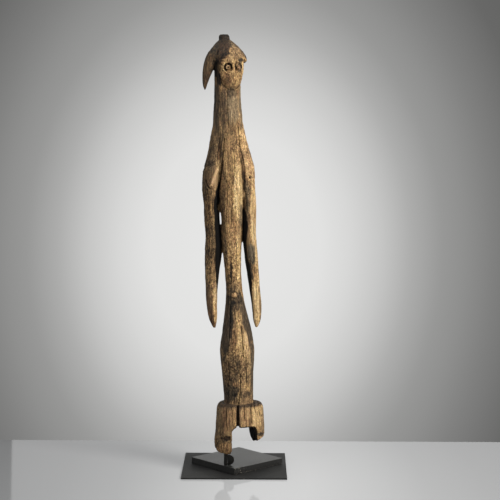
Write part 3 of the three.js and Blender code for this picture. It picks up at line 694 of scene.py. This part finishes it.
def patina(s, dark, crust, worn):
    """Masks for the colours: how light, how red and how grey, and the dark lines and painted shade."""
    side = np.clip(s.n[:, 0], -1, 1)
    # Painted light: lighter where the surface faces the viewer's right, towards the key lamp, and darker where it
    # faces left.
    tone = 0.5 + 0.16 * side + 0.16 * layered(s.p, (40, 40, 120), 400, 3)
    tone -= 0.16 * smooth(0.1, 0.8, s.n[:, 1])
    red = 0.25 + 0.5 * layered(s.p, (30, 30, 90), 410, 2)
    grey = 0.15 + 0.4 * layered(s.p, (35, 35, 120), 420, 2)
    masks = [tone, red, grey]

    def lay(mask, light, warm, ash):
        for i, target in enumerate((light, warm, ash)):
            masks[i] = masks[i] * (1 - mask) + target * mask

    # The back of the head and neck keep their dark skin, which thins out down the neck
    aside, ahead = head_frame(s)
    lay(0.9 * smooth(900, 1050, s.z + 60 * s.edge) * smooth(0.1, -0.4, -s.n[:, 1]), 0.2, 0.2, 0.4)
    head = smooth(1012, 1026, s.z + 8 * s.edge) * smooth(-30, -12, s.z - 1035 - 0 * aside + 999 * (s.z > 1035))
    head = np.maximum(smooth(1070, 1088, s.z + 8 * s.edge), head * (np.hypot(aside, ahead) > 36))
    face = smooth(1016, 1020, s.z) * smooth(20, 28, ahead)
    lay(0.92 * np.maximum(head, smooth(-62, -70, s.x) * (s.z > 1012)), 0.16, 0.2, 0.4)
    lay(0.95 * face, 0.62, 0.25, 0.1)

    # Each patch: its middle and half size in the picture, its lean, then how light, red and grey it is and
    # how strong
    for px, py, rx, ry, lean, light, warm, ash, strength in (
        # Neck and chest
        (216.6, 110, 3.4, 26, -0.02, 0.26, 0.35, 0.6, 0.95),
        (214.4, 96, 1.2, 12, 0.0, 0.08, 0.0, 0.3, 0.8),
        (223.4, 110, 3.4, 26, 0.0, 0.31, 0.3, 0.3, 0.9),
        (233.5, 107, 6.5, 17, 0.0, 0.62, 0.2, 0.8, 0.9),
        (240.6, 106, 1.2, 22, 0.06, 0.50, 0.0, 0.8, 0.8),
        (230.0, 134, 6.0, 12, 0.1, 0.62, 0.2, 0.2, 0.6),
        (241.5, 140, 5.0, 12, 0.25, 0.82, 0.35, 0.0, 0.85),
        (214.0, 145, 7.0, 20, -0.3, 0.36, 0.1, 0.25, 0.8),
        (219.0, 152, 1.6, 9, -0.1, 0.30, 0.9, 0.0, 0.7),
        (228.0, 158, 4.6, 20, 0.0, 0.60, 0.3, 0.1, 0.7),
        (237.0, 165, 5.0, 22, 0.1, 0.76, 0.15, 0.1, 0.8),
        (249.5, 172, 5.0, 14, 0.15, 0.78, 0.45, 0.0, 0.85),
        # Painted shade above the lip of the shoulder on the viewer's left.
        (209.0, 163, 5.5, 3.4, -0.4, 0.20, 0.5, 0.5, 0.8),
        # Shoulder on the viewer's left
        (207.5, 178, 4.6, 8, -0.2, 0.38, 0.3, 0.1, 0.8),
        # Arm on the viewer's left
        (207.8, 212, 6.0, 20, 0.0, 0.40, 0.3, 0.0, 0.75),
        (208.8, 245, 5.5, 20, 0.0, 0.33, 0.3, 0.2, 0.8),
        (210.6, 274, 4.2, 14, 0.1, 0.54, 0.1, 0.1, 0.75),
        (209.6, 312, 3.4, 17, 0.18, 0.34, 0.6, 0.1, 0.9),
        (213.5, 325, 2.4, 3.5, 0.0, 0.40, 0.9, 0.0, 0.8),
        # Arm on the viewer's right
        (247.0, 200, 2.8, 18, 0.0, 0.46, 0.2, 0.6, 0.95),
        (253.4, 214, 3.2, 31, 0.0, 0.90, 0.25, 0.0, 0.95),
        (256.8, 214, 2.0, 31, 0.0, 0.84, 0.35, 0.0, 0.9),
        (251.8, 254, 4.4, 9.5, 0.1, 0.40, 0.0, 0.95, 0.98),
        (249.8, 276, 3.4, 14, 0.12, 0.10, 0.2, 0.4, 0.98),
        (257.4, 268, 1.8, 22, 0.05, 0.86, 0.3, 0.1, 0.9),
        (255.4, 305, 4.4, 25, 0.06, 0.88, 0.2, 0.0, 0.98),
        # Torso
        (222.6, 205, 2.6, 32, 0.0, 0.46, 0.35, 0.2, 0.8),
        (229.5, 206, 4.6, 32, 0.0, 0.66, 0.3, 0.0, 0.75),
        (238.4, 194, 5.0, 25, 0.0, 0.90, 0.1, 0.0, 0.95),
        (241.2, 216, 1.9, 11, 0.0, 0.48, 0.0, 0.75, 0.85),
        (232.0, 250, 9.0, 26, 0.0, 0.72, 0.3, 0.05, 0.75),
        (238.4, 258, 2.0, 26, 0.0, 0.86, 0.1, 0.0, 0.8),
        (225.4, 254, 1.9, 13, 0.05, 0.44, 0.4, 0.6, 0.8),
        (231.2, 270, 1.3, 13, 0.0, 0.20, 0.0, 0.1, 0.75),
        (228.0, 284, 4.0, 9, 0.0, 0.42, 0.1, 0.2, 0.7),
        # Waist, hips and column
        (233.0, 300, 8.0, 13, 0.0, 0.34, 0.2, 0.4, 0.85),
        (226.2, 330, 5.6, 30, -0.08, 0.24, 0.25, 0.55, 0.97),
        (231.2, 318, 1.8, 16, 0.0, 0.12, 0.0, 0.3, 0.8),
        (246.5, 320, 4.6, 26, 0.25, 0.27, 0.2, 0.6, 0.95),
        (239.0, 332, 2.6, 20, 0.05, 0.74, 0.1, 0.1, 0.9),
        (241.5, 346, 5.6, 14, 0.05, 0.78, 0.15, 0.1, 0.95),
        (246.5, 344, 2.0, 13, 0.08, 0.90, 0.4, 0.0, 0.9),
        (252.2, 347, 1.2, 5.0, -0.2, 0.86, 0.2, 0.0, 0.9),
        (229.0, 372, 7.0, 14, 0.0, 0.34, 0.4, 0.3, 0.8),
        (252.6, 368, 1.9, 30, 0.0, 0.34, 0.1, 0.7, 0.9),
        (244.0, 374, 5.6, 15, 0.0, 0.58, 0.3, 0.3, 0.7),
        (231.0, 393, 7.0, 8, 0.0, 0.24, 0.1, 0.6, 0.9),
        (246.0, 394, 5.0, 3.4, 0.0, 0.36, 0.3, 0.4, 0.8),
        (235.6, 385, 2.4, 2.4, 0.0, 0.66, 0.6, 0.1, 0.8),
        (247.0, 387, 3.2, 4.0, 0.2, 0.80, 0.1, 0.0, 0.8),
        # Skirt and legs
        (218.6, 420, 2.2, 16, -0.05, 0.44, 0.1, 0.4, 0.85),
        (226.0, 418, 4.4, 15, 0.0, 0.52, 0.7, 0.1, 0.8),
        (233.0, 414, 3.2, 12, 0.0, 0.62, 0.4, 0.1, 0.75),
        (245.0, 416, 5.0, 11, 0.0, 0.72, 0.45, 0.1, 0.85),
        (256.0, 415, 6.0, 15, 0.0, 0.82, 0.15, 0.05, 0.95),
        (263.6, 420, 1.2, 12, 0.0, 0.62, 0.5, 0.6, 0.7),
        (226.2, 438.6, 4.6, 2.8, 0.0, 0.24, 0.7, 0.4, 0.95),
        (225.0, 449.0, 8.0, 6.0, 0.0, 0.62, 0.6, 0.1, 0.85),
        # Painted shadow along the edge of the break.
        (260.8, 434.2, 3.6, 1.6, -0.1, 0.26, 0.1, 0.7, 0.85),
        (260.0, 438.0, 4.0, 1.6, -0.2, 0.74, 0.6, 0.1, 0.85),
        # Head
        (235.4, 45.5, 4.2, 6.5, 0.75, 0.42, 0.3, 0.6, 0.95),
        (237.5, 53.0, 6.0, 6.0, 0.6, 0.50, 0.3, 0.3, 0.95),
        (244.0, 59.4, 2.4, 2.6, 0.3, 0.80, 0.2, 0.0, 0.95),
        (231.5, 58.0, 3.0, 7.0, 0.0, 0.56, 0.1, 0.3, 0.9),
        # Painted shadow under the brow.
        (241.2, 60.2, 2.4, 1.7, 0.2, 0.16, 0.0, 0.7, 0.95),
        (240.8, 66.0, 1.0, 5.0, 0.0, 0.44, 0.0, 0.9, 0.8),
        (242.8, 70.0, 1.3, 10.0, 0.0, 0.80, 0.2, 0.0, 0.9),
        (238.0, 79.0, 4.0, 8.0, -0.1, 0.68, 0.1, 0.0, 0.9),
        (226.6, 80.0, 4.6, 6.5, 0.1, 0.42, 0.6, 0.0, 0.85),
        # Painted shadow under the chin.
        (231.0, 93.0, 8.0, 3.6, 0.0, 0.34, 0.2, 0.5, 0.7),
        (218.6, 66.0, 2.4, 7.0, 0.0, 0.34, 0.0, 0.2, 0.9),
        # Painted shade on the shaded side of the jaw below the flap.
        (218.4, 78.0, 2.2, 9.0, 0.2, 0.06, 0.5, 0.4, 0.95),
        (223.4, 47.0, 6.2, 10.0, 0.05, 0.14, 0.5, 0.1, 0.99),
        (222.6, 55.0, 5.0, 5.4, -0.7, 0.14, 0.5, 0.1, 0.99),
        (218.6, 61.0, 3.0, 4.6, -0.5, 0.15, 0.5, 0.1, 0.97),
        (224.0, 37.0, 6.5, 5.4, 0.0, 0.11, 0.2, 0.1, 0.99),
        (208.0, 74.0, 5.2, 20.0, -0.16, 0.27, 0.25, 0.0, 0.98),
        (213.0, 47.5, 5.0, 5.5, -0.6, 0.15, 0.0, 0.5, 0.95),
        # Painted shade in the recess between the flap and the cheek.
        (215.3, 68.0, 1.6, 8.0, -0.1, 0.03, 0.0, 0.0, 0.95),
    ):
        lay(strength * s.patch(px, py, rx, ry, lean, 0.5), light, warm, ash)

    # Long bands: the lit edges of the arms and the black inner sides beside them, which are dark patina with
    # painted shade where the torso shades them, and a short black line by the ear flap
    for rows, light, warm, ash, strength in (
        (((290, 212.6, 215.6), (306, 213.4, 216.4), (322, 214.4, 217.4)), 0.84, 0.3, 0.0, 0.95),
        (((168, 216.2, 218.8), (177, 213.6, 216.4), (186, 210.2, 212.8)), 0.84, 0.7, 0.0, 0.95),
    ):
        lay(strength * s.band(rows, 0.5), light, warm, ash)
    # Painted shade with dark patina: the black inner sides of the arms.
    for rows in (
        ((186, 217.6, 219.4), (192, 215.4, 219.2), (200, 214.4, 219.0), (208, 213.4, 219.0), (216, 214.4, 219.2),
         (222, 214.4, 220), (230, 215, 221), (240, 215.2, 221.8), (246, 215.8, 222.2), (252, 215.2, 221.8),
         (258, 215.0, 220.8), (264, 215.0, 219.8), (276, 215.8, 218.8), (284, 216.4, 218.4), (292, 217.2, 218.4)),
        ((208, 242.4, 244.2), (216, 242.4, 246.0), (222, 242.4, 247.4), (228, 242.4, 248.0), (234, 242.4, 247.2),
         (240, 242.6, 246.2), (246, 243.0, 246.2), (252, 243.6, 247.0), (258, 244.2, 247.4), (264, 245.0, 249.0),
         (270, 245.8, 250.2), (276, 246.8, 251.6), (282, 247.8, 251.4), (288, 248.8, 251.2), (300, 250.0, 252.4),
         (312, 251.6, 253.2), (322, 252.8, 253.8)),
        ((49, 218.2, 219.2), (53, 217.2, 218.2), (57, 216.0, 217.0)),
    ):
        dark = np.maximum(dark, s.band(rows, 0.5))

    # Eyes and navel
    for near in (-1, 1):
        far, left, up = eye_place(s, near)
        rim = np.exp(-((far - 13.6) / 2.2) ** 2) * smooth(-0.1, 0.8, -left)
        lay((0.9 if near < 0 else 0.2) * rim, 0.88, 0.2, 0.1)
        lay(smooth(6.4, 5.2, far), *((0.76, 0.5, 0.1) if near < 0 else (0.62, 0.8, 0.2)))
        if near > 0:
            lay(smooth(12.6, 11.0, far) * smooth(5.0, 6.4, far) * smooth(-0.1, 0.4, left), 0.45, 0.1, 0.6)
    lay(s.stroke([(233.4, 60), (233.6, 68), (233.2, 75)], 2.6, 0.3, 9), 0.80, 0.2, 0.0)
    lay(s.spot(234.5, 295.2, 3.3), 0.84, 0.55, 0.05)
    lay(0.8 * s.spot(233.9, 302.4, 2.4), 0.20, 0.0, 0.8)

    # The flat ledge of the skirt has kept its dark skin
    ledge = smooth(0.35, 0.75, s.n[:, 2]) * smooth(176, 184, s.z) * smooth(200, 194, s.z)
    lay(0.85 * ledge, 0.20, 0.45, 0.4)
    # Painted shade: the faces inside the arch and inside the split above it are painted near black.
    arch, split = inner_faces(s)
    dark = np.maximum(dark, np.maximum(0.95 * arch, split))

    tone, red, grey = masks
    tone = tone + 0.22 * worn * np.clip(crust, -0.8, 0.8)
    return tone, red, grey, dark


def make_figure():
    source = bpy.data.objects["figure"]
    thing = linked("figure_wood", source.data.copy())
    thing.data.materials.clear()
    mesh = applied(thing, "WELD", merge_threshold=1e-5)
    mesh = applied(thing, "REMESH", mode="VOXEL", voxel_size=0.0015, use_smooth_shade=True)
    edges = edges_of(mesh)
    places = places_of(mesh) / MM
    in_hole = (np.hypot(places[:, 0] - ROD_PLACE[0], places[:, 1] - ROD_PLACE[1]) < 6.6) & (places[:, 2] < 109)
    head = smooth(1010, 1035, places[:, 2])
    weight = (1 - 0.6 * head) * ~in_hole
    places = averaged(places, edges, 14, 0.6, weight)
    put_places(mesh, places * MM)
    normals = averaged(normals_of(mesh), edges, 6)
    normals /= np.linalg.norm(normals, axis=1)[:, None]
    surface = Surface(places, normals)
    worn = calm(surface)
    move, dark, crust = relief(surface, worn)
    move *= ~in_hole
    tone, red, grey, dark = patina(surface, dark, crust, worn)
    low, high = (np.array(corner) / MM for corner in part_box("figure"))
    places = np.clip(places + normals * move[:, None], low, high)
    put_places(mesh, places * MM)
    for name, values in (("tone", tone), ("red", red), ("grey", grey), ("crack_and_shade", dark), ("worn", worn)):
        put_values(mesh, name, values)
    mesh.calc_loop_triangles()
    count = len(mesh.loop_triangles)
    print("figure triangles before", count)
    mesh = applied(thing, "DECIMATE", ratio=min(1.0, 196000 / count))
    mesh.calc_loop_triangles()
    print("figure triangles", len(mesh.loop_triangles))
    for polygon in mesh.polygons:
        polygon.use_smooth = True
    mesh.materials.append(wood_material())
    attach(thing, "root")
    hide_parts("figure")


# The stand

def slab(name, centre, side, turn, low, high, round_corner, bevel, step, inward):
    """A square plate with rounded edges. inward(around, up, which side) says how far its rim is eaten away."""
    half = side / 2
    ring = []
    for number in range(4):
        a = math.radians(90 * number)
        count = int(side / step)
        for i in range(count):
            t = -half + round_corner + (side - 2 * round_corner) * (i + 0.5) / count
            ring.append((half, t, a, number, (i + 0.5) / count))
        for i in range(4):
            b = math.radians(90 * (i + 0.5) / 4)
            ring.append((half - round_corner + round_corner * math.cos(b),
                         half - round_corner + round_corner * math.sin(b), a, number, 1.0))
    flat = np.array([[x * math.cos(a) - y * math.sin(a), x * math.sin(a) + y * math.cos(a)]
                     for x, y, a, _, _ in ring])
    outward = []
    for x, y, a, _, _ in ring:
        dx = max(x - (half - round_corner), 0.001)
        dy = max(abs(y) - (half - round_corner), 0.0) * math.copysign(1, y)
        length = math.hypot(dx, dy)
        dx, dy = dx / length, dy / length
        outward.append([dx * math.cos(a) - dy * math.sin(a), dx * math.sin(a) + dy * math.cos(a)])
    outward = np.array(outward)
    tall = high - low
    levels = [(low, bevel), (low + 0.3 * bevel, 0.3 * bevel), (low + bevel, 0)]
    rows = max(1, int((tall - 2 * bevel) / step))
    levels += [(low + bevel + (tall - 2 * bevel) * i / rows, 0) for i in range(1, rows)]
    levels += [(high - bevel, 0), (high - 0.3 * bevel, 0.3 * bevel), (high, bevel)]
    c, s = math.cos(turn), math.sin(turn)
    around = np.array([number + share for _, _, _, number, share in ring])
    corners, eaten = [], []
    for z, inset in levels:
        depth = inward(flat, around, np.full(len(ring), (z - low) / tall))
        spots = flat - outward * (inset + depth)[:, None]
        for (x, y), d in zip(spots, depth):
            corners.append(((centre[0] + x * c - y * s) * MM, (centre[1] + x * s + y * c) * MM, z * MM))
            eaten.append(d)
    n = len(ring)
    faces = [tuple(reversed(range(n)))]
    for row in range(len(levels) - 1):
        for i in range(n):
            j = (i + 1) % n
            faces.append((row * n + i, row * n + j, (row + 1) * n + j, (row + 1) * n + i))
    faces.append(tuple(range((len(levels) - 1) * n, len(levels) * n)))
    mesh = bpy.data.meshes.new(name)
    mesh.from_pydata(corners, [], faces)
    mesh.validate()
    thing = linked(name, mesh)
    for polygon in mesh.polygons:
        polygon.use_smooth = len(polygon.vertices) == 4
    put_values(mesh, "rough_edge", smooth(0.8, 2.2, np.array(eaten)))
    put_values(mesh, "cut_and_shaded_side", smooth(0.9, 0.5, np.abs(normals_of(mesh)[:, 2])))
    return thing


def plate_rim(flat, around, up):
    spots = np.c_[flat, up * 4]
    return 0.12 + 0.12 * layered(spots, (9, 9, 3), 501, 2) + 0.35 * smooth(0.45, 0.8, layered(spots, (16, 16, 8), 502, 2))


def block_rim(flat, around, up):
    """Cut by flame: slanting drag lines on every side, and a crumbled stretch on the front side by the corner."""
    spots = np.c_[flat, up * 18]
    lines = ripple(np.c_[flat + (up * 3)[:, None], up * 4], (2.6, 2.6, 9), 510)
    rough = 0.35 + 0.3 * lines + 0.25 * layered(spots, (7, 7, 5), 511, 2)
    front = (around >= 3) & (around <= 4)
    crumble = smooth(3.42, 3.02, around) * front
    lumps = layered(spots, (4.5, 4.5, 4.0), 512, 3)
    rough = rough + crumble * (1.6 + 2.4 * lumps)
    ledge = front * smooth(0.42, 0.3, up) * (0.9 + 0.9 * layered(spots, (11, 11, 6), 513, 2))
    return np.clip(rough + ledge, 0.0, 5.0)


def rounded_copy(node, name, width, segments):
    """A copy of a frame solid with rounded edges."""
    thing = linked(name, bpy.data.objects[node].data.copy())
    thing.data.materials.clear()
    applied(thing, "WELD", merge_threshold=1e-6)
    mesh = applied(thing, "BEVEL", width=width, segments=segments, limit_method="ANGLE",
                   angle_limit=math.radians(35), harden_normals=False)
    for polygon in mesh.polygons:
        polygon.use_smooth = True
    mesh.set_sharp_from_angle(angle=math.radians(40))
    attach(thing, "root")
    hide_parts(node)
    return thing


def make_rod(material):
    """The round bar, turned with a small chamfer at both ends."""
    low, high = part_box("support_rod")
    radius = (high[0] - low[0]) / 2
    x, y = (low[0] + high[0]) / 2, (low[1] + high[1]) / 2
    profile = [(0, low[2]), (radius - 0.0005, low[2]), (radius, low[2] + 0.0005)]
    steps = 24
    for i in range(1, steps):
        z = low[2] + (high[2] - low[2]) * i / steps
        profile.append((radius - 0.00005 - 0.00005 * math.sin(7 * i), z))
    profile += [(radius, high[2] - 0.0005), (radius - 0.0005, high[2]), (0, high[2])]
    sides = 64
    corners = [(x, y, profile[0][1])]
    for r, z in profile[1:-1]:
        for i in range(sides):
            a = 2 * math.pi * i / sides
            corners.append((x + r * math.cos(a), y + r * math.sin(a), z))
    corners.append((x, y, profile[-1][1]))
    faces, last = [], len(corners) - 1
    rows = len(profile) - 2
    for i in range(sides):
        j = (i + 1) % sides
        faces.append((0, 1 + j, 1 + i))
        for row in range(rows - 1):
            a = 1 + row * sides
            faces.append((a + i, a + j, a + sides + j, a + sides + i))
        top = 1 + (rows - 1) * sides
        faces.append((last, top + i, top + j))
    mesh = bpy.data.meshes.new("rod_round")
    mesh.from_pydata(corners, [], faces)
    thing = linked("rod_round", mesh)
    for polygon in mesh.polygons:
        polygon.use_smooth = True
    mesh.set_sharp_from_angle(angle=math.radians(30))
    mesh.materials.append(material)
    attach(thing, "root")
    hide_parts("support_rod")


def make_stand():
    plate_steel = steel_material("plate_steel", rgb(20, 20, 19), rgb(38, 38, 36), 0.62, 0.8, 0.1, 0.6)
    block_steel = steel_material("block_steel", rgb(50, 50, 47), rgb(82, 82, 78), 0.34, 0.5, 0.6, 0.0)
    rod_steel = steel_material("rod_steel", rgb(16, 15, 13), rgb(34, 32, 28), 0.3, 0.5, 0.6)
    low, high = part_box("base_plate")
    plate = slab("plate_worn", (0, 0), 280, 0, low[2] / MM, high[2] / MM, 0.8, 0.5, 4, plate_rim)
    plate.data.materials.append(plate_steel)
    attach(plate, "root")
    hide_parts("base_plate")
    low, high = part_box("base_block")
    block = slab("block_flame_cut", BLOCK_CENTRE, 176, BLOCK_TURN, low[2] / MM, high[2] / MM, 1.0, 0.7, 1.3,
                 block_rim)
    block.data.materials.append(block_steel)
    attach(block, "root")
    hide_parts("base_block")
    make_rod(rod_steel)
    tab = rounded_copy("support_lug", "lug_rounded", 0.0006, 3)
    tab.data.materials.append(rod_steel)


# The room: a pale table top, a pale background and soft lights

def make_table():
    corners = []
    for z in (-0.03, 0.0):
        for x, y in ((-3.0, -2.2), (3.0, -2.2), (3.0, 0.3034), (-3.0, 0.3034)):
            corners.append((x, y, z))
    faces = [(3, 2, 1, 0), (4, 5, 6, 7), (0, 1, 5, 4), (1, 2, 6, 5), (2, 3, 7, 6), (3, 0, 4, 7)]
    mesh = bpy.data.meshes.new("table")
    mesh.from_pydata(corners, [], faces)
    table = linked("table", mesh)
    material, tree, shader = new_material("pale_table")
    place = tree.nodes.new("ShaderNodeTexCoord")
    mapping = tree.nodes.new("ShaderNodeMapping")
    mapping.vector_type = "TEXTURE"
    mapping.inputs["Location"].default_value = (0.1, -0.1, 0)
    mapping.inputs["Scale"].default_value = (1.0, 3.0, 3.0)
    tree.links.new(place.outputs["Object"], mapping.inputs["Vector"])
    # Painted light on the table: palest a little right of the stand and darker towards the sides, as lamp light
    # falls off.
    gradient = tree.nodes.new("ShaderNodeTexGradient")
    gradient.gradient_type = "SPHERICAL"
    tree.links.new(mapping.outputs["Vector"], gradient.inputs["Vector"])
    stops = []
    for out, grey in ((0, 186), (0.1, 184), (0.25, 170), (0.4, 152), (0.55, 141), (0.75, 132), (1.0, 128)):
        stops.append((1 - out, rgb(grey, grey + 1, grey + 2)))
    colour = ramp(tree, gradient.outputs["Fac"], sorted(stops))
    tree.links.new(colour, shader.inputs["Base Color"])
    shader.inputs["Specular IOR Level"].default_value = 0.0
    shader.inputs["Coat Weight"].default_value = 0.35
    shader.inputs["Coat Roughness"].default_value = 0.05
    shader.inputs["Roughness"].default_value = 0.9
    table.data.materials.append(material)


def make_background():
    """A soft glow behind the object, as directions from the camera see it, in an even grey room."""
    world = bpy.data.worlds.new("room")
    bpy.context.scene.world = world
    world.use_nodes = True
    tree = world.node_tree
    place = tree.nodes.new("ShaderNodeTexCoord")
    mapping = tree.nodes.new("ShaderNodeMapping")
    mapping.vector_type = "TEXTURE"
    mapping.inputs["Location"].default_value = (-0.0128, 0.995, -0.0915)
    reach = 4.0
    mapping.inputs["Scale"].default_value = (0.211 * reach, 1.0 * reach, 0.27 * reach)
    tree.links.new(place.outputs["Generated"], mapping.inputs["Vector"])
    gradient = tree.nodes.new("ShaderNodeTexGradient")
    gradient.gradient_type = "SPHERICAL"
    tree.links.new(mapping.outputs["Vector"], gradient.inputs["Vector"])
    stops = []
    for pixels, grey in ((0, 231), (85, 226), (115, 215), (145, 198), (175, 173), (205, 152), (227, 143),
                         (255, 128), (300, 104), (380, 92), (700, 140), (1000, 168)):
        stops.append((1 - pixels / (300 * reach), rgb(grey, grey, grey - 1)))
    colour = ramp(tree, gradient.outputs["Fac"], sorted(stops))
    back = next(n for n in tree.nodes if n.type == "BACKGROUND")
    tree.links.new(colour, back.inputs["Color"])
    back.inputs["Strength"].default_value = 1.0


def lamp(name, place, aim, size, power, colour=(1, 1, 1)):
    data = bpy.data.lights.new(name, "AREA")
    data.shape = "RECTANGLE"
    data.size, data.size_y = size
    data.energy = power
    data.color = colour
    thing = bpy.data.objects.new(name, data)
    bpy.context.scene.collection.objects.link(thing)
    thing.location = place
    thing.rotation_mode = "QUATERNION"
    thing.rotation_quaternion = (Vector(aim) - Vector(place)).to_track_quat("-Z", "Y")
    thing.visible_camera = False


def make_room():
    make_table()
    make_background()
    lamp("key", (2.3, -1.9, 2.0), (0, 0, 0.6), (1.1, 1.6), 95, (1.0, 0.98, 0.95))
    lamp("top", (0.2, -0.6, 3.0), (0, 0, 0.5), (1.6, 1.6), 30)
    lamp("fill", (-2.4, -2.6, 1.2), (0, 0, 0.6), (1.4, 1.4), 16, (0.95, 0.98, 1.0))
    lamp("glow", (0.1, 3.4, 0.8), (0, 0, 0.3), (2.6, 0.7), 8)


def main():
    scene = bpy.context.scene
    scene.view_settings.view_transform = "Standard"
    scene.view_settings.look = "None"
    scene.view_settings.exposure = 0
    scene.view_settings.gamma = 1
    make_figure()
    make_stand()
    make_room()
    make_camera()


main()
